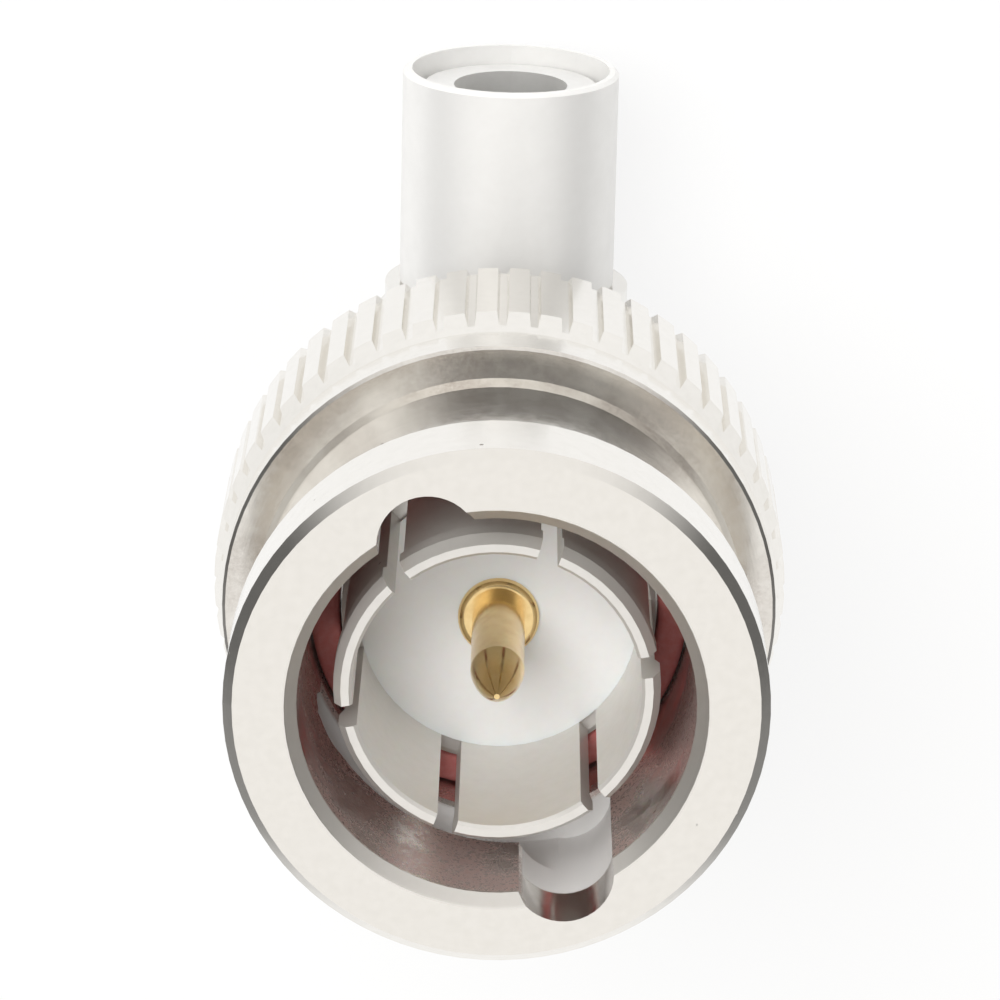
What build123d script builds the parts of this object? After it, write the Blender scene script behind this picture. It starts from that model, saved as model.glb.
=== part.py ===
from build123d import *
import os
from math import cos, degrees, radians, sin, sqrt

# A right-angle bayonet plug for coaxial cable, standing on its rear cap with the mating face up.
# Sizes are in millimetres. Depths are measured back from the front face of the coupling nut,
# along the mating axis (the Z axis). Reaches are measured out from that axis to the cable side.

# Mating face
contact_tip_depth = 1.35        # finger tips behind the nut's front face
gasket_depth = 7.0              # front of the sealing gasket
gasket_thickness = 1.0
insulator_depth = 6.8           # front of the white insulator
pin_tip_depth = 1.05

# Coupling nut, outside
rim_wall = 1.8                  # round the bore
rim_length = 2.5
rim_chamfer = 0.24
rim_back_chamfer = 0.1
waist_wall = 0.27               # round the entries
waist_length = 2.8
neck_rise = 0.05                # the waist widens slowly to the neck, and faster to its foot
neck_length = 1.5
foot_rise = 0.13
foot_length = 0.35
knurl_wall = 1.2                # round the retaining ring's groove
collar_step = 0.32              # collar below the top of the knurl
collar_length = 1.3
collar_edge = 0.08
knurl_lead = 0.75
knurl_back_chamfer = 0.25
flute_count = 56
flute_depth = 0.22
flute_mouth = 0.30
flute_floor = 0.18
flute_angle = 270.5             # one flute, measured from +X

# Coupling nut, inside
bore_radius = 4.9
mouth_chamfer = 0.29
cage_clearance = 0.05           # running gap round the plug body's flange
ring_cover = 2.3                # nut behind the retaining ring

# Bayonet ramps: two entries, each a notch and a groove that turns clockwise seen from the front
entry_count = 2
entry_angle = 112.2
entry_width = 2.5
entry_reach = 5.85
ramp_radius = 5.75
ramp_width = 2.15
ramp_sweep = 90.0
lip_at_entry = 3.2              # lip thickness where a stud enters
lip_at_lock = 4.6               # lip thickness where it locks
seat_radius = 1.05              # rounded seat that holds the stud
seat_drop = 0.3                 # how far the stud springs back into its seat

# Spring stack behind the flange
flange_radius = 5.85
flange_thickness = 1.2
flange_chamfer = 0.15
spring_height = 0.8
spring_thickness = 0.25
spring_radius = 5.6
washer_thickness = 0.5
washer_gap = 0.1                # play of the washer in the nut and on the body
ring_thickness = 0.7
ring_grip = 0.35                # how far the ring sits in the nut's groove
ring_clearance = 0.55           # round the plug body's neck
ring_gap = 2.0

# Plug body
body_neck_wall = 0.52           # round the bore
block_gap = 0.7                 # between the nut and the block
block_radius = 5.0
block_length = 9.8
block_chamfer = 0.3
body_bore_radius = 3.58
cap_radius = 4.3
cap_thickness = 1.4
cap_chamfer = 0.15
port_inset = 4.8                # cable axis behind the front of the block
boss_radius = 3.35
boss_stand = 0.4                # boss beyond the block

# Outer contact
contact_radius = 4.05
finger_radius = 3.93
tip_radius = 3.86
tip_lead = 0.35
tip_land = 0.6
finger_taper = 0.3
contact_seat = 1.0              # depth of its base in the flange
contact_inner_chamfer = 0.08
finger_count = 6
finger_angle = 11.2
slot_width = 0.55
slot_margin = 0.05              # web between the slots and the gasket's plane

# Gasket
gasket_radius = 4.85
gasket_gap = 0.05
gasket_round = 0.15

# Insulators and centre pin
insulator_length = 8.4
pin_radius = 0.675
pin_nose_radius = 0.07
pin_taper = 1.75
pin_taper_middle = 0.45         # share of the taper's length where its radius is given
pin_taper_fullness = 0.62       # how far the radius has grown there
pin_shoulder_radius = 1.05
pin_shoulder_length = 1.65
pin_shoulder_round = 0.2
pin_shoulder_stand = 0.25       # the shoulder stands proud of the insulator
pin_tail_radius = 0.8
pin_tail_past_port = 1.4
solder_slot_width = 0.7
solder_slot_length = 2.6
cap_insulator_thickness = 1.2

# Cable side
stem_root_radius = 2.2
stem_radius = 2.5
stem_bore_radius = 1.55
stem_inner_reach = 3.75
stem_pilot_length = 0.6
stem_length = 5.6               # outside the boss
stem_groove_count = 4
stem_groove_depth = 0.15
stem_groove_width = 0.4
stem_edge = 0.15
ferrule_radius = 2.95
ferrule_wall = 0.25
ferrule_length = 6.05
ferrule_fit = 0.05
ferrule_edge = 0.1

# Depths, radii and reaches that follow from the sizes above
waist_end = rim_length + waist_length
neck_end = waist_end + neck_length
shoulder_depth = neck_end + foot_length
collar_end = shoulder_depth + collar_length
knurl_start = collar_end + knurl_lead
flange_depth = gasket_depth + gasket_thickness
flange_end = flange_depth + flange_thickness
washer_depth = flange_end + spring_height
ring_depth = washer_depth + washer_thickness
ring_end = ring_depth + ring_thickness
nut_length = ring_end + ring_cover
cage_radius = flange_radius + cage_clearance
groove_radius = cage_radius + ring_grip
rim_radius = bore_radius + rim_wall
waist_radius = entry_reach + waist_wall
neck_radius = waist_radius + neck_rise
foot_radius = neck_radius + foot_rise
knurl_radius = groove_radius + knurl_wall
collar_radius = knurl_radius - collar_step
body_neck_radius = body_bore_radius + body_neck_wall
ring_bore_radius = body_neck_radius + ring_clearance
block_depth = nut_length + block_gap
overall_height = block_depth + block_length
cap_depth = overall_height - cap_thickness
port_height = block_length - port_inset
insulator_end = insulator_depth + insulator_length
boss_reach = block_radius + boss_stand
pilot_radius = ferrule_radius - ferrule_wall - ferrule_fit
ferrule_end = boss_reach + ferrule_length


def at(depth):
    """Height of a point that lies this deep behind the front face."""
    return overall_height - depth


def direction(angle):
    """Unit vector across the mating axis, at an angle from +X."""
    return Vector(cos(radians(angle)), sin(radians(angle)), 0)


# The cable leaves towards -Y. side_view looks along the cable axis, side_section holds that axis
# with the reach along its x.
cable_axis = Axis((0, 0, port_height), (0, -1, 0))
side_view = Plane(origin=(0, 0, port_height), x_dir=(1, 0, 0), z_dir=(0, -1, 0))
side_section = Plane(origin=(0, 0, port_height), x_dir=(0, -1, 0), z_dir=(1, 0, 0))


# Groove in the coupling nut that one bayonet stud turns in. Its front and back are two parallel
# tilted planes over the quarter turn, which draw the stud in like a helix of the same rise.
lock_angle = entry_angle - ramp_sweep
entry_floor = lip_at_entry + ramp_width
ramp_end = lip_at_lock + ramp_width
ramp_middle_radius = (bore_radius + ramp_radius) / 2
ramp_slope = (lip_at_lock - lip_at_entry) / (2 * ramp_middle_radius * sin(radians(ramp_sweep / 2)))
steepest = direction(entry_angle - ramp_sweep / 2 - 90) * ramp_slope
lip_plane = Plane(
    origin=(0, 0, at((lip_at_entry + lip_at_lock) / 2)),
    z_dir=(steepest.X, steepest.Y, 1),
)
floor_plane = Plane(
    origin=(0, 0, at((entry_floor + ramp_end) / 2)),
    z_dir=(steepest.X, steepest.Y, 1),
)
seat_turn = degrees(seat_radius / ramp_radius)
seat_direction = direction(lock_angle + seat_turn)
seat_plane = Plane(
    origin=(0, 0, at(lip_at_lock - seat_drop + seat_radius)),
    z_dir=(seat_direction.X, seat_direction.Y, 0),
)

with BuildPart() as bayonet_ramp:
    with BuildSketch(Plane.XY.offset(at(2 * ramp_end))):
        with BuildLine():
            sweep_arc = CenterArc((0, 0), ramp_radius, lock_angle, ramp_sweep)
            Line((0, 0), sweep_arc @ 0)
            Line(sweep_arc @ 1, (0, 0))
        make_face()
    extrude(amount=2 * ramp_end)
    with BuildSketch(lip_plane):
        Rectangle(4 * rim_radius, 4 * rim_radius)
    extrude(amount=overall_height, mode=Mode.SUBTRACT)
    with BuildSketch(floor_plane):
        Rectangle(4 * rim_radius, 4 * rim_radius)
    extrude(amount=-overall_height, mode=Mode.SUBTRACT)
    with BuildSketch(seat_plane):
        Circle(seat_radius)
    extrude(amount=sqrt(ramp_radius**2 - seat_radius**2))


# Coupling nut: rim, waist, flat shoulder, collar and knurled grip over a bore with a wide cage
# behind it, which holds the spring stack and the groove of the retaining ring.
with BuildPart() as coupling_nut:
    with BuildSketch(Plane.XZ):
        with BuildLine():
            Polyline(
                (bore_radius + mouth_chamfer, at(0)),
                (rim_radius - rim_chamfer, at(0)),
                (rim_radius, at(rim_chamfer)),
                (rim_radius, at(rim_length - rim_back_chamfer)),
                (rim_radius - rim_back_chamfer, at(rim_length)),
                (waist_radius, at(rim_length)),
                (waist_radius, at(waist_end)),
                (neck_radius, at(neck_end)),
                (foot_radius, at(shoulder_depth)),
                (collar_radius - collar_edge, at(shoulder_depth)),
                (collar_radius, at(shoulder_depth + collar_edge)),
                (collar_radius, at(collar_end)),
                (knurl_radius, at(knurl_start)),
                (knurl_radius, at(nut_length - knurl_back_chamfer)),
                (knurl_radius - knurl_back_chamfer, at(nut_length)),
                (cage_radius, at(nut_length)),
                (cage_radius, at(ring_end)),
                (groove_radius, at(ring_end)),
                (groove_radius, at(ring_depth)),
                (cage_radius, at(ring_depth)),
                (cage_radius, at(flange_depth)),
                (bore_radius, at(flange_depth)),
                (bore_radius, at(mouth_chamfer)),
                close=True,
            )
        make_face()
    revolve(axis=Axis.Z)
    with BuildSketch(Plane.XY.offset(at(entry_floor))):
        with PolarLocations(entry_reach - entry_width / 2, entry_count, start_angle=entry_angle):
            Circle(entry_width / 2)
    extrude(amount=entry_floor, mode=Mode.SUBTRACT)
    with PolarLocations(0, entry_count):
        add(bayonet_ramp.part, mode=Mode.SUBTRACT)
    with BuildSketch(Plane.XY.offset(at(nut_length))):
        with PolarLocations(knurl_radius, flute_count, start_angle=flute_angle):
            Polygon(
                (-flute_depth, -flute_floor / 2),
                (flute_depth, -flute_mouth / 2 - (flute_mouth - flute_floor) / 2),
                (flute_depth, flute_mouth / 2 + (flute_mouth - flute_floor) / 2),
                (-flute_depth, flute_floor / 2),
                align=None,
            )
    extrude(amount=nut_length - shoulder_depth, mode=Mode.SUBTRACT)


# Retaining ring: a split ring that snaps into the groove and closes the nut behind the washer.
with BuildPart() as retaining_ring:
    with BuildSketch(Plane.XY.offset(at(ring_end))):
        Circle(groove_radius)
        Circle(ring_bore_radius, mode=Mode.SUBTRACT)
        with Locations((groove_radius, 0)):
            Rectangle(groove_radius, ring_gap, mode=Mode.SUBTRACT)
    extrude(amount=ring_thickness)


# Thrust washer: flat, between the spring and the ring.
with BuildPart() as thrust_washer:
    with BuildSketch(Plane.XY.offset(at(ring_depth))):
        Circle(cage_radius - washer_gap)
        Circle(body_neck_radius + washer_gap, mode=Mode.SUBTRACT)
    extrude(amount=washer_thickness)


# Spring washer: a thin ring bowed about the Y axis, touching the flange in the middle and the
# thrust washer at its two sides.
spring_bow = spring_height - spring_thickness
bow_inner_radius = (spring_radius**2 + spring_bow**2) / (2 * spring_bow)
bow_outer_radius = bow_inner_radius + spring_thickness

with BuildPart() as spring_washer:
    with BuildSketch(Plane.XY.offset(at(washer_depth))):
        Circle(spring_radius)
        Circle(body_neck_radius + washer_gap, mode=Mode.SUBTRACT)
    extrude(amount=spring_height)
    with BuildSketch(Plane.XZ):
        with Locations((0, at(flange_end) - bow_outer_radius)):
            Circle(bow_outer_radius)
            Circle(bow_inner_radius, mode=Mode.SUBTRACT)
    extrude(amount=2 * spring_radius, both=True, mode=Mode.INTERSECT)


# Plug body: flange and neck that the nut turns on, a round block behind it and a boss for the
# cable, bored through from the back.
with BuildPart() as elbow_body:
    with BuildSketch(Plane.XZ):
        with BuildLine():
            Polyline(
                (0, at(flange_depth)),
                (flange_radius - flange_chamfer, at(flange_depth)),
                (flange_radius, at(flange_depth + flange_chamfer)),
                (flange_radius, at(flange_end)),
                (body_neck_radius, at(flange_end)),
                (body_neck_radius, at(block_depth)),
                (block_radius - block_chamfer, at(block_depth)),
                (block_radius, at(block_depth + block_chamfer)),
                (block_radius, block_chamfer),
                (block_radius - block_chamfer, 0),
                (0, 0),
                close=True,
            )
        make_face()
    revolve(axis=Axis.Z)
    with BuildSketch(side_view):
        Circle(boss_radius)
    extrude(amount=boss_reach)
    with BuildSketch(Plane.XZ):
        with BuildLine():
            Polyline(
                (0, at(flange_depth)),
                (contact_radius, at(flange_depth)),
                (contact_radius, at(flange_depth + contact_seat)),
                (body_bore_radius, at(flange_depth + contact_seat)),
                (body_bore_radius, at(cap_depth)),
                (cap_radius, at(cap_depth)),
                (cap_radius, 0),
                (0, 0),
                close=True,
            )
        make_face()
    revolve(axis=Axis.Z, mode=Mode.SUBTRACT)
    with BuildSketch(side_view):
        Circle(stem_root_radius)
    extrude(amount=boss_reach, mode=Mode.SUBTRACT)


# Outer contact: a sprung sleeve slotted into fingers, with a raised contact land behind each tip.
slot_end = gasket_depth - slot_margin

with BuildPart() as outer_contact:
    with BuildSketch(Plane.XZ):
        with BuildLine():
            Polyline(
                (body_bore_radius + contact_inner_chamfer, at(contact_tip_depth)),
                (tip_radius, at(contact_tip_depth)),
                (contact_radius, at(contact_tip_depth + tip_lead)),
                (contact_radius, at(contact_tip_depth + tip_lead + tip_land)),
                (finger_radius, at(contact_tip_depth + tip_lead + tip_land + finger_taper)),
                (finger_radius, at(slot_end)),
                (contact_radius, at(gasket_depth)),
                (contact_radius, at(flange_depth + contact_seat)),
                (body_bore_radius, at(flange_depth + contact_seat)),
                (body_bore_radius, at(contact_tip_depth + contact_inner_chamfer)),
                close=True,
            )
        make_face()
    revolve(axis=Axis.Z)
    with BuildSketch(Plane.XY.offset(at(slot_end))):
        with PolarLocations(0, finger_count, start_angle=finger_angle):
            Rectangle(2 * contact_radius, slot_width, align=(Align.MIN, Align.CENTER))
    extrude(amount=slot_end, mode=Mode.SUBTRACT)


# Gasket: a soft ring on the flange, round the base of the fingers.
with BuildPart() as mating_gasket:
    with BuildSketch(Plane.XY.offset(at(flange_depth))):
        Circle(gasket_radius)
        Circle(contact_radius + gasket_gap, mode=Mode.SUBTRACT)
    extrude(amount=gasket_thickness)
    fillet(mating_gasket.faces().sort_by(Axis.Z)[-1].edges(), radius=gasket_round)


# Front insulator: fills the sleeve and the body's bore, and holds the centre pin by its shoulder.
pin_shoulder_depth = insulator_depth - pin_shoulder_stand
pin_shoulder_end = pin_shoulder_depth + pin_shoulder_length

with BuildPart() as front_insulator:
    with BuildSketch(Plane.XZ):
        with BuildLine():
            Polyline(
                (pin_shoulder_radius, at(insulator_depth)),
                (body_bore_radius, at(insulator_depth)),
                (body_bore_radius, at(insulator_end)),
                (pin_tail_radius, at(insulator_end)),
                (pin_tail_radius, at(pin_shoulder_end)),
                (pin_shoulder_radius, at(pin_shoulder_end)),
                close=True,
            )
        make_face()
    revolve(axis=Axis.Z)


# Centre pin: pointed in front, with a shoulder in the insulator and a slotted tail for the
# cable's conductor in the block's chamber.
pin_body_depth = pin_tip_depth + pin_taper
pin_tail_end = overall_height - port_height + pin_tail_past_port
taper_middle = (
    pin_nose_radius + pin_taper_fullness * (pin_radius - pin_nose_radius),
    at(pin_tip_depth + pin_taper_middle * pin_taper),
)

with BuildPart() as centre_pin:
    with BuildSketch(Plane.XZ):
        with BuildLine():
            Line((0, at(pin_tip_depth)), (pin_nose_radius, at(pin_tip_depth)))
            ThreePointArc((pin_nose_radius, at(pin_tip_depth)), taper_middle, (pin_radius, at(pin_body_depth)))
            Polyline(
                (pin_radius, at(pin_body_depth)),
                (pin_radius, at(pin_shoulder_depth)),
                (pin_shoulder_radius - pin_shoulder_round, at(pin_shoulder_depth)),
            )
            RadiusArc(
                (pin_shoulder_radius - pin_shoulder_round, at(pin_shoulder_depth)),
                (pin_shoulder_radius, at(pin_shoulder_depth + pin_shoulder_round)),
                pin_shoulder_round,
            )
            Polyline(
                (pin_shoulder_radius, at(pin_shoulder_depth + pin_shoulder_round)),
                (pin_shoulder_radius, at(pin_shoulder_end)),
                (pin_tail_radius, at(pin_shoulder_end)),
                (pin_tail_radius, at(pin_tail_end)),
                (0, at(pin_tail_end)),
                (0, at(pin_tip_depth)),
            )
        make_face()
    revolve(axis=Axis.Z)
    with BuildSketch(Plane.XY.offset(at(pin_tail_end))):
        Rectangle(solder_slot_width, 4 * pin_tail_radius)
    extrude(amount=solder_slot_length, mode=Mode.SUBTRACT)


# Rear cap, pressed into the back of the block, and the insulating disc on its inner side.
with BuildPart() as rear_cap:
    with BuildSketch(Plane.XY):
        Circle(cap_radius)
    extrude(amount=cap_thickness)
    chamfer(rear_cap.faces().sort_by(Axis.Z)[0].edges(), length=cap_chamfer)

with BuildPart() as cap_insulator:
    with BuildSketch(Plane.XY.offset(cap_thickness)):
        Circle(body_bore_radius)
    extrude(amount=cap_insulator_thickness)


# Crimp stem, pressed into the boss. Its grooves grip the cable's braid.
stem_end = boss_reach + stem_length
groove_span = stem_length - stem_pilot_length - 2 * stem_edge
groove_pitch = groove_span / (stem_groove_count + 1)

with BuildPart() as crimp_stem:
    with BuildSketch(side_section):
        with BuildLine():
            Polyline(
                (stem_inner_reach, stem_bore_radius),
                (stem_inner_reach, stem_root_radius),
                (boss_reach, stem_root_radius),
                (boss_reach, pilot_radius),
                (boss_reach + stem_pilot_length, pilot_radius),
                (boss_reach + stem_pilot_length, stem_radius),
                (stem_end - stem_edge, stem_radius),
                (stem_end, stem_radius - stem_edge),
                (stem_end, stem_bore_radius),
                close=True,
            )
        make_face()
        for index in range(stem_groove_count):
            groove_reach = boss_reach + stem_pilot_length + (index + 1) * groove_pitch
            with Locations((groove_reach, stem_radius)):
                Rectangle(stem_groove_width, 2 * stem_groove_depth, mode=Mode.SUBTRACT)
    revolve(axis=cable_axis)


# Crimp ferrule: a plain tube that slides on the stem and seats against the boss.
with BuildPart() as crimp_ferrule:
    with BuildSketch(side_section):
        with BuildLine():
            Polyline(
                (boss_reach, ferrule_radius - ferrule_wall),
                (boss_reach, ferrule_radius - ferrule_edge),
                (boss_reach + ferrule_edge, ferrule_radius),
                (ferrule_end - ferrule_edge, ferrule_radius),
                (ferrule_end, ferrule_radius - ferrule_edge),
                (ferrule_end, ferrule_radius - ferrule_wall),
                close=True,
            )
        make_face()
    revolve(axis=cable_axis)


pieces = {
    "coupling_nut": coupling_nut,
    "retaining_ring": retaining_ring,
    "thrust_washer": thrust_washer,
    "spring_washer": spring_washer,
    "elbow_body": elbow_body,
    "outer_contact": outer_contact,
    "mating_gasket": mating_gasket,
    "front_insulator": front_insulator,
    "centre_pin": centre_pin,
    "rear_cap": rear_cap,
    "cap_insulator": cap_insulator,
    "crimp_stem": crimp_stem,
    "crimp_ferrule": crimp_ferrule,
}

os.makedirs("parts", exist_ok=True)
for name, piece in pieces.items():
    piece.part.label = name
    export_step(piece.part, f"parts/{name}.step")
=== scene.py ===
# %% [markdown]
# # A right-angle bayonet plug for coaxial cable
# The plug stands on its rear cap with the mating face up and the cable side towards -Y. Its thirteen
# metal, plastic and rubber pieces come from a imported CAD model, which is the fixed frame here. This
# script gives each piece the finish of the real one, rebuilds the soft gasket, and sets up a small
# studio. Loading the frame comes first, because everything else is placed by it.

# %% Load the frame
from math import cos, radians, sin, tau

import bmesh
import bpy
from mathutils import Matrix, Vector


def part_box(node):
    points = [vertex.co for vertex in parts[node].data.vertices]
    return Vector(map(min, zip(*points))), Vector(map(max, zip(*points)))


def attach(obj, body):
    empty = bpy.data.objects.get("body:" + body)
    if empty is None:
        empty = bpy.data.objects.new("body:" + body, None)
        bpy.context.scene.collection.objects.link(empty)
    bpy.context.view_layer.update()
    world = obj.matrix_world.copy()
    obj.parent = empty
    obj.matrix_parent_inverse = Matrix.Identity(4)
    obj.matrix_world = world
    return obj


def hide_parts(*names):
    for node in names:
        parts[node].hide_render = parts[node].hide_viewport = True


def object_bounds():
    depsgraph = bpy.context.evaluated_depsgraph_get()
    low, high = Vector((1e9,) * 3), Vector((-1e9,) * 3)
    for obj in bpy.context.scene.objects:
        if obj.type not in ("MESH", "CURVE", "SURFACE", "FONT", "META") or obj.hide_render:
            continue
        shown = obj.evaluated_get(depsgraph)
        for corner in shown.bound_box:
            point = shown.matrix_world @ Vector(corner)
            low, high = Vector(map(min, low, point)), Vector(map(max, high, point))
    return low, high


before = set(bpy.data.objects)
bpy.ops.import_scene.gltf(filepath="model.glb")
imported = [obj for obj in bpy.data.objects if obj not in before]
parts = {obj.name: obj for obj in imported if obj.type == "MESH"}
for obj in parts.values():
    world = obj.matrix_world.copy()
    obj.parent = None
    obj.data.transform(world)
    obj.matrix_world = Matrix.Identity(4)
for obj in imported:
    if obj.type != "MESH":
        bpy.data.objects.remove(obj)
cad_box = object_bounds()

mm = 0.001
print("pieces:", len(parts), "box in mm:", [round(v / mm, 2) for corner in cad_box for v in corner])

# %% [markdown]
# ## The camera
# The photograph looks down into the coupling nut from the cable side. The nut's mouth is a wide
# ellipse and the cable tube runs up the picture, so the camera hangs over the plug, tipped towards
# the cable side, with its top edge on that side. Working its place out from one distance and two
# angles keeps those numbers readable, and easy to correct against the photograph.

# %% Camera
mating_face = Vector((0, 0, cad_box[1].z))
camera_distance = 120 * mm
camera_tilt = radians(21.2)       # between the mating axis and the line to the camera
aim_tilt = radians(18.73)         # the lens points a little past the mating face
camera_roll = radians(1.3)
aim_sideways = radians(0.015)
focal_length = 177.1              # in mm, as the width of the sensor
sensor_width = 36
nearest_seen = 5 * mm
farthest_seen = 20

camera_data = bpy.data.cameras.new("camera")
camera_data.lens = focal_length
camera_data.sensor_width = sensor_width
camera_data.clip_start = nearest_seen
camera_data.clip_end = farthest_seen
camera = bpy.data.objects.new("camera", camera_data)
bpy.context.scene.collection.objects.link(camera)
bpy.context.scene.camera = camera

back = Vector((0, -sin(aim_tilt), cos(aim_tilt)))
right = Vector((-1, 0, 0))
up = back.cross(right)
turned = Matrix((right, up, back)).transposed().to_4x4()
place = mating_face + camera_distance * Vector((0, -sin(camera_tilt), cos(camera_tilt)))
camera.matrix_world = (Matrix.Translation(place) @ turned
                       @ Matrix.Rotation(camera_roll, 4, "Z")
                       @ Matrix.Rotation(aim_sideways, 4, "Y"))
print("camera at, in mm:", [round(v / mm, 1) for v in place])

# %% [markdown]
# ## Helpers for shader nodes
# Every finish below is a small network of nodes. One helper fills a node's inputs, each with a plain
# value or with a wire from another node, and one places a node and fills it in a single line. With
# them a finish reads as a short list of steps, in the order in which the values flow.

# %% Placing and filling nodes
def feed(tree, node, values):
    """Fill a node's inputs, each with a plain value or from another node's output socket."""
    for socket, value in values.items():
        if isinstance(value, bpy.types.NodeSocket):
            tree.links.new(value, node.inputs[socket])
        else:
            node.inputs[socket].default_value = value


def put(tree, kind, values=None, **settings):
    """Place a node, give it its settings, and fill its inputs."""
    node = tree.nodes.new(kind)
    for name, setting in settings.items():
        setattr(node, name, setting)
    feed(tree, node, values or {})
    return node

# %% [markdown]
# Four kinds of node come up again and again: a calculation, the mapping of one range on another, a
# layer that covers another where a mask is white, and a bump. Each gets a helper that returns its
# output socket, so that it can go straight into the next step.

# %% Common steps
def combine(tree, operation, *values, **settings):
    """Calculate with one or two values or sockets."""
    math = put(tree, "ShaderNodeMath", dict(enumerate(values)), operation=operation, **settings)
    return math.outputs[0]


def ramp(tree, value, start=(0.0, 1.0), end=(0.0, 1.0), smooth=False):
    """Map the range called start on the range called end, and hold the value beyond both ends."""
    mapped = put(tree, "ShaderNodeMapRange",
                 {"Value": value, "From Min": start[0], "From Max": start[1],
                  "To Min": end[0], "To Max": end[1]},
                 interpolation_type="SMOOTHSTEP" if smooth else "LINEAR")
    return mapped.outputs[0]


def cover(tree, base, layer, mask, **settings):
    """Lay one value over another where the mask is 1. Colours need data_type="RGBA"."""
    mixed = put(tree, "ShaderNodeMix", {"A": base, "B": layer, "Factor": mask}, **settings)
    return mixed.outputs["Result"]


def bump(tree, height, distance, normal=None, **settings):
    """Turn a height into a normal, on top of the normal of an earlier bump if there is one."""
    values = {"Height": height, "Distance": distance, "Strength": 1.0}
    if normal is not None:
        values["Normal"] = normal
    return put(tree, "ShaderNodeBump", values, **settings).outputs[0]

# %% [markdown]
# ## The studio floor
# The photograph has a plain white ground and only soft light. A single large sheet at the height of
# the rear cap's face is enough to stand the plug on and to take its shadow.

# %% Floor sheet
floor_half = 1.5

shape = bmesh.new()
bmesh.ops.create_grid(shape, x_segments=8, y_segments=8, size=floor_half)
floor_mesh = bpy.data.meshes.new("floor")
shape.to_mesh(floor_mesh)
shape.free()
floor = bpy.data.objects.new("floor", floor_mesh)
bpy.context.scene.collection.objects.link(floor)
print("floor half width in m:", floor_half)

# %% [markdown]
# ### Paper that glows to the camera
# The floor's material is pale paper. To rays from the camera, from metal and from glass it also
# glows, so it shows as white without any extra light on the plug. In the metal that glow fades a few
# centimetres to the left and right, as if dark cards stood there, and those darker reflections give
# the sides of the plug their shape.

# %% Floor material
paper_white = (0.93, 0.93, 0.925, 1)
floor_glow = 0.8
lit_half = 18 * mm                # the glow is full between these lines, left and right
fade_half = 85 * mm               # and weakest beyond these
card_glow = 0.1

pale = bpy.data.materials.new("pale_floor")
pale.use_nodes = True
tree = pale.node_tree
paper = tree.nodes["Principled BSDF"]
feed(tree, paper, {"Base Color": paper_white, "Roughness": 0.9})
where = put(tree, "ShaderNodeTexCoord")
axes = put(tree, "ShaderNodeSeparateXYZ", {0: where.outputs["Object"]})
sideways = combine(tree, "ABSOLUTE", axes.outputs["X"])
fade = ramp(tree, sideways, (lit_half, fade_half), (1.0, card_glow), smooth=True)
rays = put(tree, "ShaderNodeLightPath").outputs
strength = combine(tree, "MAXIMUM", fade, rays["Is Camera Ray"])
glow = put(tree, "ShaderNodeEmission", {"Color": (1, 1, 1, 1), "Strength": strength})
seen = combine(tree, "MAXIMUM", rays["Is Camera Ray"], rays["Is Glossy Ray"])
seen_or_through = combine(tree, "MAXIMUM", seen, rays["Is Transmission Ray"])
share = combine(tree, "MULTIPLY", seen_or_through, floor_glow)
both = put(tree, "ShaderNodeMixShader", {0: share, 1: paper.outputs[0], 2: glow.outputs[0]})
feed(tree, tree.nodes["Material Output"], {"Surface": both.outputs[0]})
floor_mesh.materials.append(pale)
print("glow fades between, in mm:", round(lit_half / mm), "and", round(fade_half / mm))

# %% [markdown]
# ## The studio light
# Bright nickel shows mostly what stands round it. In the photograph the surfaces that face up or
# towards the cable side are nearly white and the rim has grey arcs at its left and right, so the
# room is bright overhead and on the cable side, and darker low down at the other sides. Corners that
# send light straight back, such as the nut's shoulder, are grey-brown, because they mirror the dark
# camera. The world paints that room as a soft change with direction.

# %% World
scene = bpy.context.scene
scene.view_settings.view_transform = "Standard"

low_light = 0.14
high_light = 0.98
rise = (0.25, 0.92)               # from low to high light, with 0 level and 1 straight up
cable_side_light = 0.80
cable_side_rise = (-0.35, -0.90)  # the same along the cable axis
camera_shade = 0.74               # how much of the light the camera and its stand take away
shade_direction = Vector((-0.18, -0.45, 0.87)).normalized()
shade_core = radians(15)
shade_edge = radians(33)
warm_white = (1.0, 0.985, 0.965, 1)

world = bpy.data.worlds.new("studio")
world.use_nodes = True
scene.world = world
tree = world.node_tree
tree.nodes.clear()
direction = put(tree, "ShaderNodeTexCoord").outputs["Generated"]
axes = put(tree, "ShaderNodeSeparateXYZ", {0: direction})
overhead = ramp(tree, axes.outputs["Z"], rise, (low_light, high_light), smooth=True)
cable_side = ramp(tree, axes.outputs["Y"], cable_side_rise, (0.0, cable_side_light), smooth=True)
room = combine(tree, "ADD", overhead, cable_side)
towards_camera = put(tree, "ShaderNodeVectorMath", {0: direction, 1: shade_direction},
                     operation="DOT_PRODUCT")
shade = ramp(tree, towards_camera.outputs["Value"], (cos(shade_edge), cos(shade_core)),
             (1.0, 1 - camera_shade), smooth=True)
shaded_room = combine(tree, "MULTIPLY", room, shade)
rays = put(tree, "ShaderNodeLightPath").outputs
level = cover(tree, shaded_room, 1.0, rays["Is Camera Ray"])
ground = put(tree, "ShaderNodeBackground", {"Color": warm_white, "Strength": level})
put(tree, "ShaderNodeOutputWorld", {"Surface": ground.outputs[0]})
print("room light from", low_light, "to", high_light)

# %% [markdown]
# ### The softbox
# One round softbox lights the inside of the nut, where the room's light hardly reaches. It is hidden
# from mirror rays, because no streak of it is seen on the nickel.

# %% Lamp
lamp_place = Vector((0.18, -0.28, 0.64))
lamp_width = 0.45
lamp_power = 3.3

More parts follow.
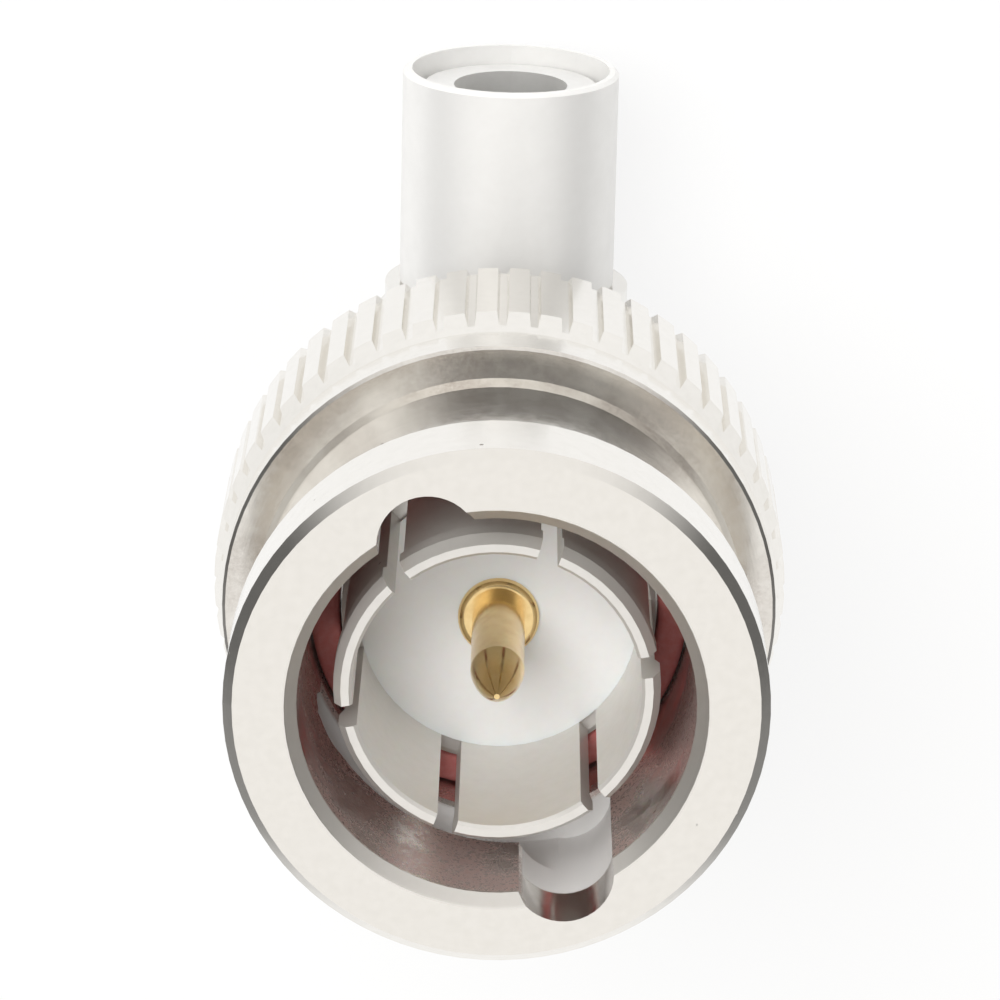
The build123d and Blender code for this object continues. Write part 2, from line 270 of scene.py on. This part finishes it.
lamp_data = bpy.data.lights.new("softbox", "AREA")
lamp_data.shape = "DISK"
lamp_data.size = lamp_width
lamp_data.energy = lamp_power
lamp = bpy.data.objects.new("softbox", lamp_data)
lamp.location = lamp_place
lamp.rotation_euler = (mating_face - lamp_place).to_track_quat("-Z", "Y").to_euler()
lamp.visible_glossy = False
scene.collection.objects.link(lamp)
print("lamp at, in m:", [round(v, 2) for v in lamp_place])

# %% [markdown]
# ## The gasket
# The red ring at the root of the fingers is soft silicone rubber, moulded and a little crowned, and
# it seals against the socket's rim. A turned rectangle would look like a metal washer. Here a few
# points give its section, the corners are rounded with a bevel on the points, and a full spin about
# the mating axis closes it into a ring.

# %% Gasket ring
gasket_low, gasket_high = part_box("mating_gasket")
gasket_inner = 4.1 * mm
gasket_outer = gasket_high.x
gasket_crown = 0.05 * mm
gasket_round = 0.16 * mm
round_steps = 5
spin_steps = 128

shape = bmesh.new()
middle = (gasket_inner + gasket_outer) / 2
section = [(gasket_inner, gasket_low.z), (gasket_outer, gasket_low.z),
           (gasket_outer, gasket_high.z - gasket_crown), (middle, gasket_high.z),
           (gasket_inner, gasket_high.z - gasket_crown)]
corners = [shape.verts.new((radius, 0, z)) for radius, z in section]
shape.faces.new(corners)
bmesh.ops.bevel(shape, geom=list(shape.verts), affect="VERTICES", offset=gasket_round,
                segments=round_steps, profile=0.5, material=-1)
bmesh.ops.delete(shape, geom=list(shape.faces), context="FACES_ONLY")
bmesh.ops.spin(shape, geom=list(shape.verts) + list(shape.edges), cent=(0, 0, 0), axis=(0, 0, 1),
               dvec=(0, 0, 0), angle=tau, steps=spin_steps, use_merge=True, use_duplicate=False)
bmesh.ops.remove_doubles(shape, verts=shape.verts, dist=0.001 * mm)
bmesh.ops.recalc_face_normals(shape, faces=shape.faces)
for face in shape.faces:
    face.smooth = True
gasket_mesh = bpy.data.meshes.new("gasket_ring")
shape.to_mesh(gasket_mesh)
shape.free()
gasket_ring = bpy.data.objects.new("gasket_ring", gasket_mesh)
scene.collection.objects.link(gasket_ring)
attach(gasket_ring, "plug_body")
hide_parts("mating_gasket")
print("gasket faces:", len(gasket_mesh.polygons))

# %% [markdown]
# ## Effects that the finishes share
# Turned and plated parts have the same few marks: fine rings from the cutting tool, a slow waviness
# that makes reflections wander, small nicks from handling, and a brown in recesses that is partly
# tarnish where a cloth doesn't reach and partly painted shade.
# Each is a node group with named inputs, so that a finish only says how fine and how strong it is.
# Noise gives them, read from Object coordinates, because these pieces have no UV map.

# %% Group helpers
per_metre = 1 / mm                # turns a number per mm into a texture's scale


def new_group(name, inputs, outputs):
    """Start a shader node group with float or vector sockets, and return it with its two ends."""
    group = bpy.data.node_groups.new(name, "ShaderNodeTree")
    for socket, kind, value in inputs:
        made = group.interface.new_socket(socket, in_out="INPUT", socket_type=kind)
        if value is not None:
            made.default_value = value
    for socket in outputs:
        group.interface.new_socket(socket, in_out="OUTPUT", socket_type="NodeSocketFloat")
    print("group:", name)
    return group, put(group, "NodeGroupInput"), put(group, "NodeGroupOutput")


def from_axis(tree, place):
    """Split a place into its distance from the Z axis and its height."""
    axes = put(tree, "ShaderNodeSeparateXYZ", {0: place})
    flat = put(tree, "ShaderNodeCombineXYZ", {"X": axes.outputs["X"], "Y": axes.outputs["Y"]})
    distance = put(tree, "ShaderNodeVectorMath", {0: flat.outputs[0]}, operation="LENGTH")
    return distance.outputs["Value"], axes.outputs["Z"]

# %% [markdown]
# ### Tool marks
# A cutting tool leaves rings: circles on a flat face and hoops on a cylinder. Both come from noise
# that changes with the distance from the axis and with the height, and not with the angle.

# %% Tool marks
tool_marks, entry, result = new_group(
    "tool_marks",
    [("Place", "NodeSocketVector", None), ("Rings per mm", "NodeSocketFloat", 12.0)],
    ["Height"])
radius, height = from_axis(tool_marks, entry.outputs["Place"])
ring_place = put(tool_marks, "ShaderNodeCombineXYZ", {"X": radius, "Y": height})
ring_scale = combine(tool_marks, "MULTIPLY", entry.outputs["Rings per mm"], per_metre)
rings = put(tool_marks, "ShaderNodeTexNoise",
            {"Vector": ring_place.outputs[0], "Scale": ring_scale, "Detail": 2.0, "Roughness": 0.6})
feed(tool_marks, result, {"Height": rings.outputs["Fac"]})

# %% [markdown]
# ### Waviness
# Plating is never quite even. Two sizes of noise, one a few millimetres wide and one finer, bend the
# reflections and cloud the colour.

# %% Waviness
fine_to_wide = 3.3
cloud_limits = (0.35, 0.70)

waviness, entry, result = new_group(
    "waviness",
    [("Place", "NodeSocketVector", None), ("Waves per mm", "NodeSocketFloat", 0.8)],
    ["Height", "Cloud"])
wide_scale = combine(waviness, "MULTIPLY", entry.outputs["Waves per mm"], per_metre)
fine_scale = combine(waviness, "MULTIPLY", wide_scale, fine_to_wide)
wide = put(waviness, "ShaderNodeTexNoise",
           {"Vector": entry.outputs["Place"], "Scale": wide_scale, "Detail": 1.5, "Roughness": 0.5})
fine = put(waviness, "ShaderNodeTexNoise",
           {"Vector": entry.outputs["Place"], "Scale": fine_scale, "Detail": 3.0, "Roughness": 0.6})
cloud = ramp(waviness, fine.outputs["Fac"], cloud_limits)
feed(waviness, result, {"Height": wide.outputs["Fac"], "Cloud": cloud})

# %% [markdown]
# ### Nicks
# Handling leaves a few small nicks. A Voronoi texture scatters round cells, and only the cells whose
# random shade is low enough get a nick, which keeps them sparse.

# %% Nicks
nicks, entry, result = new_group(
    "nicks",
    [("Place", "NodeSocketVector", None), ("Cells per mm", "NodeSocketFloat", 2.0),
     ("Share", "NodeSocketFloat", 0.1), ("Size", "NodeSocketFloat", 0.12)],
    ["Mask"])
cell_scale = combine(nicks, "MULTIPLY", entry.outputs["Cells per mm"], per_metre)
cells = put(nicks, "ShaderNodeTexVoronoi",
            {"Vector": entry.outputs["Place"], "Scale": cell_scale}, feature="F1")
shades = put(nicks, "ShaderNodeSeparateColor", {0: cells.outputs["Color"]})
chosen = combine(nicks, "LESS_THAN", shades.outputs[0], entry.outputs["Share"])
from_middle = combine(nicks, "DIVIDE", cells.outputs["Distance"], entry.outputs["Size"])
spot = ramp(nicks, from_middle, (1.0, 0.5), smooth=True)
feed(nicks, result, {"Mask": combine(nicks, "MULTIPLY", spot, chosen)})

# %% [markdown]
# ### Shell zone
# The inside of the nut, its milled notches and the waist outside differ in how far they are from the
# axis and how deep they lie. One group gives a mask for such a shell, between two radii and two
# heights, with soft edges so that no line shows where a finish ends. A small function writes the
# shell's limits as one measures them on the plug, from the mating face down.

# %% Shell zone
shell_zone, entry, result = new_group(
    "shell_zone",
    [("Place", "NodeSocketVector", None), ("Inner", "NodeSocketFloat", 0.0),
     ("Outer", "NodeSocketFloat", 1.0), ("Bottom", "NodeSocketFloat", 0.0),
     ("Top", "NodeSocketFloat", 0.0), ("Edge", "NodeSocketFloat", 0.1 * mm)],
    ["Mask"])
radius, height = from_axis(shell_zone, entry.outputs["Place"])
limits = entry.outputs
mask = 1.0
for larger, smaller in [(radius, limits["Inner"]), (limits["Outer"], radius),
                        (height, limits["Bottom"]), (limits["Top"], height)]:
    inside_by = combine(shell_zone, "SUBTRACT", larger, smaller)
    side = combine(shell_zone, "DIVIDE", inside_by, limits["Edge"], use_clamp=True)
    mask = combine(shell_zone, "MULTIPLY", mask, side)
feed(shell_zone, result, {"Mask": mask})


def shell(inner, outer, deepest, highest):
    """Limits of a shell: two radii, and two depths below the mating face, all in mm."""
    return {"Inner": inner * mm, "Outer": outer * mm,
            "Bottom": mating_face.z - deepest * mm, "Top": mating_face.z - highest * mm}

# %% [markdown]
# ### Tarnish and painted shade
# The nut's waist behind the rim and the depth of its bore are a dull brown. The brown is partly
# tarnish, where a cloth doesn't reach, and partly painted shade: a painted reflection of the dark
# surroundings and of the red gasket. Two noises break the brown up into clouds and fine specks.

# %% Tarnish and painted shade
clouds_per_mm = 0.42
specks_per_mm = 9.0
cloud_edges = (0.42, 0.62)
speck_edges = (0.35, 0.65)
thinnest_tarnish_and_shade = 0.55              # between the specks

tarnish_and_shade, entry, result = new_group(
    "tarnish_and_shade",
    [("Place", "NodeSocketVector", None), ("Zone", "NodeSocketFloat", 0.0),
     ("Cover", "NodeSocketFloat", 0.0), ("Amount", "NodeSocketFloat", 0.5)],
    ["Mask"])
clouds = put(tarnish_and_shade, "ShaderNodeTexNoise",
             {"Vector": entry.outputs["Place"], "Scale": clouds_per_mm * per_metre,
              "Detail": 3.0, "Roughness": 0.55})
specks = put(tarnish_and_shade, "ShaderNodeTexNoise",
             {"Vector": entry.outputs["Place"], "Scale": specks_per_mm * per_metre,
              "Detail": 2.0, "Roughness": 0.7})
covered = combine(tarnish_and_shade, "ADD", clouds.outputs["Fac"], entry.outputs["Cover"])
tarnish_and_shade_patches = combine(tarnish_and_shade, "MULTIPLY", ramp(tarnish_and_shade, covered, cloud_edges),
               ramp(tarnish_and_shade, specks.outputs["Fac"], speck_edges, (thinnest_tarnish_and_shade, 1.0)))
tarnish_and_shade_in_zone = combine(tarnish_and_shade, "MULTIPLY", tarnish_and_shade_patches, entry.outputs["Zone"])
feed(tarnish_and_shade, result, {"Mask": combine(tarnish_and_shade, "MULTIPLY", tarnish_and_shade_in_zone, entry.outputs["Amount"])})

# %% [markdown]
# ## Plated metal
# All the metal pieces are turned and plated, and differ in colour, in how polished they are and in
# the axis they were turned about. One function builds such a finish from the effects: the waviness
# clouds the colour and roughness, a brown that is partly tarnish and partly painted shade darkens it,
# nicks darken it too, and rings, waves and nicks shape the bump. Each call below is one finish with
# its own values.

# %% Plated metal
upright = (0, 0, 0)
lying = (radians(90), 0, 0)       # turned about the cable axis
nick_depth = 0.02 * mm


def plated_metal(name, colour, clouded, roughness, axis=upright, axis_height=0.0,
                 rings_per_mm=12.0, ring_height=0.0004 * mm, waves_per_mm=0.8,
                 wave_height=0.003 * mm, nick_share=0.04, nick_colour=(0.34, 0.30, 0.27, 1),
                 tarnish_and_shade_amount=0.0, tarnish_and_shade_zone=None, tarnish_and_shade_colour=(0.34, 0.28, 0.24, 1), metallic=1.0):
    """Make a metal finish whose colour and roughness go from a clean to a clouded value."""
    material = bpy.data.materials.new(name)
    material.use_nodes = True
    tree = material.node_tree
    where = put(tree, "ShaderNodeTexCoord").outputs["Object"]
    centred = put(tree, "ShaderNodeMapping", {"Vector": where, "Location": (0, 0, -axis_height)})
    on_axis = put(tree, "ShaderNodeMapping", {"Vector": centred.outputs[0], "Rotation": axis})
    marks = put(tree, "ShaderNodeGroup",
                {"Place": on_axis.outputs[0], "Rings per mm": rings_per_mm}, node_tree=tool_marks)
    waves = put(tree, "ShaderNodeGroup", {"Place": where, "Waves per mm": waves_per_mm},
                node_tree=waviness)
    dents = put(tree, "ShaderNodeGroup", {"Place": where, "Share": nick_share}, node_tree=nicks)
    zone = put(tree, "ShaderNodeGroup", {"Place": where, **(tarnish_and_shade_zone or {})}, node_tree=shell_zone)
    # The brown laid on here is partly tarnish and partly painted shade.
    brown = put(tree, "ShaderNodeGroup",
                {"Place": where, "Zone": zone.outputs["Mask"], "Amount": tarnish_and_shade_amount},
                node_tree=tarnish_and_shade)
    tint = cover(tree, colour, clouded, waves.outputs["Cloud"], data_type="RGBA")
    tarnished_and_shaded = cover(tree, tint, tarnish_and_shade_colour, brown.outputs["Mask"], data_type="RGBA")
    nicked = cover(tree, tarnished_and_shaded, nick_colour, dents.outputs["Mask"], data_type="RGBA")
    ringed = bump(tree, marks.outputs["Height"], ring_height)
    waved = bump(tree, waves.outputs["Height"], wave_height, ringed)
    dented = bump(tree, dents.outputs["Mask"], nick_depth, waved, invert=True)
    feed(tree, tree.nodes["Principled BSDF"],
         {"Base Color": nicked, "Metallic": metallic, "Normal": dented,
          "Roughness": ramp(tree, waves.outputs["Cloud"], end=roughness)})
    print("finish:", name)
    return material

# %% [markdown]
# ### Nickel on the nut, body, contact, ferrule and stem
# The nut is bright nickel with a warm tone, and the body is a little duller. The fingers are satin.
# The ferrule shows no reflections at all in the photograph, so it is rougher still, as the stem in
# it is, and the marks of both run round the cable axis. A Metallic value below 1 gives satin nickel
# some of the plain paleness that it has in soft light. The ferrule's near-white colour is painted
# light, a painted highlight that makes the whole tube white.

# %% Nickel finishes
cable_axis_height = 5.0 * mm
# The brown on the nut's waist behind the rim is partly tarnish and partly painted shade, a painted
# reflection of the dark surroundings.
nut_nickel = plated_metal(
    "nut_nickel", (0.88, 0.858, 0.818, 1), (0.86, 0.838, 0.795, 1), (0.13, 0.19),
    waves_per_mm=1.1, wave_height=0.004 * mm, tarnish_and_shade_amount=0.38,
    tarnish_and_shade_zone=shell(inner=6.0, outer=7.6, deepest=7.3, highest=2.4))
body_nickel = plated_metal(
    "body_nickel", (0.86, 0.845, 0.81, 1), (0.84, 0.825, 0.79, 1), (0.18, 0.23))
contact_nickel = plated_metal(
    "contact_nickel", (0.79, 0.77, 0.735, 1), (0.77, 0.75, 0.715, 1), (0.34, 0.40),
    rings_per_mm=16.0, wave_height=0.001 * mm, nick_share=0.01, metallic=0.55)
# Near-white colour: a painted highlight over the whole tube.
ferrule_nickel = plated_metal(
    "ferrule_nickel", (0.97, 0.965, 0.95, 1), (0.95, 0.945, 0.93, 1), (0.46, 0.54),
    axis=lying, axis_height=cable_axis_height, nick_share=0.0, metallic=0.4)
stem_nickel = plated_metal(
    "stem_nickel", (0.95, 0.945, 0.93, 1), (0.92, 0.915, 0.90, 1), (0.48, 0.58),
    axis=lying, axis_height=cable_axis_height, nick_share=0.0, metallic=0.85)

# %% [markdown]
# ### Inside the nut
# The inside of the nut looks different from its outside. The bore carries a brown, broken by a
# few grey patches, which is partly a tarnish film and partly painted shade and a painted reflection
# of the red gasket. Less of it lies towards the cable side, which is painted light: that side is
# painted lighter. The notches and grooves are milled, which leaves them satin, and they are painted
# pale, as painted light that makes them look lit. The small chamfer at the mouth is satin too. Each
# of these is laid over the finished nickel. The brown is laid on as no metal, so it also lowers the
# Metallic value.

# %% Inside the nut
# A brown that is partly tarnish and partly painted shade and a painted reflection of the red gasket.
tarnish_and_shade_brown = (0.50, 0.34, 0.31, 1)
tarnish_and_shade_roughness = 0.34
tarnish_and_shade_metallic = 0.3
# The milled notches are painted pale: painted light that makes the shaded notches look lit.
painted_light_pale = (0.97, 0.965, 0.955, 1)
milled_roughness = 0.5
milled_metallic = 0.1
mouth_roughness = 0.45
# Painted light: the brown thins towards the cable side, so that side of the bore is painted lighter.
painted_lit_side_from, painted_lit_side_to = -2.0 * mm, -4.2 * mm
brown_left_on_painted_lit_side = 0.1

tree = nut_nickel.node_tree
surface = tree.nodes["Principled BSDF"]
colour = surface.inputs["Base Color"].links[0].from_socket
polish = surface.inputs["Roughness"].links[0].from_socket
where = put(tree, "ShaderNodeTexCoord").outputs["Object"]
bore, milled_and_painted_light, mouth = [
    put(tree, "ShaderNodeGroup", {"Place": where, **limits}, node_tree=shell_zone).outputs["Mask"]
    for limits in (shell(inner=4.7, outer=5.1, deepest=8.2, highest=0.3),
                   shell(inner=5.0, outer=6.0, deepest=7.5, highest=1.7),
                   shell(inner=4.8, outer=5.25, deepest=0.4, highest=-0.1))]
axes = put(tree, "ShaderNodeSeparateXYZ", {0: where})
# Less brown on the cable side: painted light.
painted_lit_side = ramp(tree, axes.outputs["Y"], (painted_lit_side_to, painted_lit_side_from), (brown_left_on_painted_lit_side, 1.0))
brown = put(tree, "ShaderNodeGroup",
            {"Place": where, "Zone": combine(tree, "MULTIPLY", painted_lit_side, bore),
             "Cover": 0.08, "Amount": 0.95}, node_tree=tarnish_and_shade).outputs["Mask"]
metal = 1.0
for mask, layer_colour, layer_roughness, layer_metallic in [
        (brown, tarnish_and_shade_brown, tarnish_and_shade_roughness, tarnish_and_shade_metallic),
        (milled_and_painted_light, painted_light_pale, milled_roughness, milled_metallic)]:
    colour = cover(tree, colour, layer_colour, mask, data_type="RGBA")
    polish = cover(tree, polish, layer_roughness, mask)
    metal = combine(tree, "MULTIPLY", metal, ramp(tree, mask, end=(1.0, layer_metallic)))
polish = cover(tree, polish, mouth_roughness, mouth)
feed(tree, surface, {"Base Color": colour, "Roughness": polish, "Metallic": metal})
print("inside the nut: a film, milled notches and a satin mouth")

# %% [markdown]
# ### Gold, spring steel and the thrust washer
# The centre pin is polished gold plate over a turned pin. The two springs are plain steel, ground
# and tempered, which is greyer than nickel. The washer is nickel on brass, worn dull where it rubs.

# %% Other metals
gold_plate = plated_metal(
    "gold_plate", (0.93, 0.71, 0.36, 1), (0.86, 0.62, 0.29, 1), (0.14, 0.22),
    rings_per_mm=18.0, ring_height=0.001 * mm, nick_colour=(0.30, 0.20, 0.10, 1))
spring_steel = plated_metal(
    "spring_steel", (0.60, 0.59, 0.58, 1), (0.50, 0.49, 0.48, 1), (0.26, 0.38))
washer_brass = plated_metal(
    "washer_brass", (0.74, 0.71, 0.65, 1), (0.66, 0.62, 0.54, 1), (0.30, 0.42))

# %% [markdown]
# ## White fluoroplastic
# The insulators are turned from a waxy white rod. The plastic is pale right through, scatters light
# a little under its surface, and shows the tool's rings as a soft sheen, so it needs bump and an
# uneven roughness more than colour.

# %% Fluoroplastic
white_fluoroplastic = bpy.data.materials.new("white_fluoroplastic")
white_fluoroplastic.use_nodes = True
tree = white_fluoroplastic.node_tree
where = put(tree, "ShaderNodeTexCoord").outputs["Object"]
marks = put(tree, "ShaderNodeGroup", {"Place": where, "Rings per mm": 9.0}, node_tree=tool_marks)
waves = put(tree, "ShaderNodeGroup", {"Place": where}, node_tree=waviness)
tint = cover(tree, (0.95, 0.95, 0.945, 1), (0.93, 0.928, 0.92, 1), waves.outputs["Cloud"],
             data_type="RGBA")
feed(tree, tree.nodes["Principled BSDF"],
     {"Base Color": tint, "IOR": 1.36, "Subsurface Weight": 0.15, "Subsurface Scale": 0.6 * mm,
      "Roughness": ramp(tree, marks.outputs["Height"], end=(0.38, 0.55)),
      "Normal": bump(tree, marks.outputs["Height"], 0.003 * mm)})
print("finish:", white_fluoroplastic.name)

# %% [markdown]
# ## Silicone rubber
# Moulded silicone is a deep red with a satin skin and a very fine grain. Dust clings to it, so its
# colour is a little paler in patches.

# %% Silicone
silicone_red = bpy.data.materials.new("silicone_red")
silicone_red.use_nodes = True
tree = silicone_red.node_tree
where = put(tree, "ShaderNodeTexCoord").outputs["Object"]
waves = put(tree, "ShaderNodeGroup", {"Place": where, "Waves per mm": 1.5}, node_tree=waviness)
grain = put(tree, "ShaderNodeTexNoise", {"Vector": where, "Scale": 16 * per_metre, "Detail": 3.0})
dusty = cover(tree, (0.62, 0.19, 0.18, 1), (0.65, 0.245, 0.23, 1), waves.outputs["Cloud"],
              data_type="RGBA")
feed(tree, tree.nodes["Principled BSDF"],
     {"Base Color": dusty, "IOR": 1.41,
      "Roughness": ramp(tree, grain.outputs["Fac"], end=(0.42, 0.60)),
      "Normal": bump(tree, grain.outputs["Fac"], 0.004 * mm)})
gasket_mesh.materials.append(silicone_red)
print("finish:", silicone_red.name)

# %% [markdown]
# ## Dressing the pieces
# Each CAD piece already has a material slot, and a better material only has to be assigned to it. A
# table of piece and finish is the shortest way, and shows at a glance what is made of what.

# %% Assign the finishes
finishes = {
    "coupling_nut": nut_nickel,
    "retaining_ring": spring_steel,
    "thrust_washer": washer_brass,
    "spring_washer": spring_steel,
    "elbow_body": body_nickel,
    "outer_contact": contact_nickel,
    "mating_gasket": silicone_red,
    "front_insulator": white_fluoroplastic,
    "centre_pin": gold_plate,
    "rear_cap": body_nickel,
    "cap_insulator": white_fluoroplastic,
    "crimp_stem": stem_nickel,
    "crimp_ferrule": ferrule_nickel,
}
for piece, finish in finishes.items():
    for slot in parts[piece].material_slots:
        slot.material = finish
print("dressed:", len(finishes), "of", len(parts))
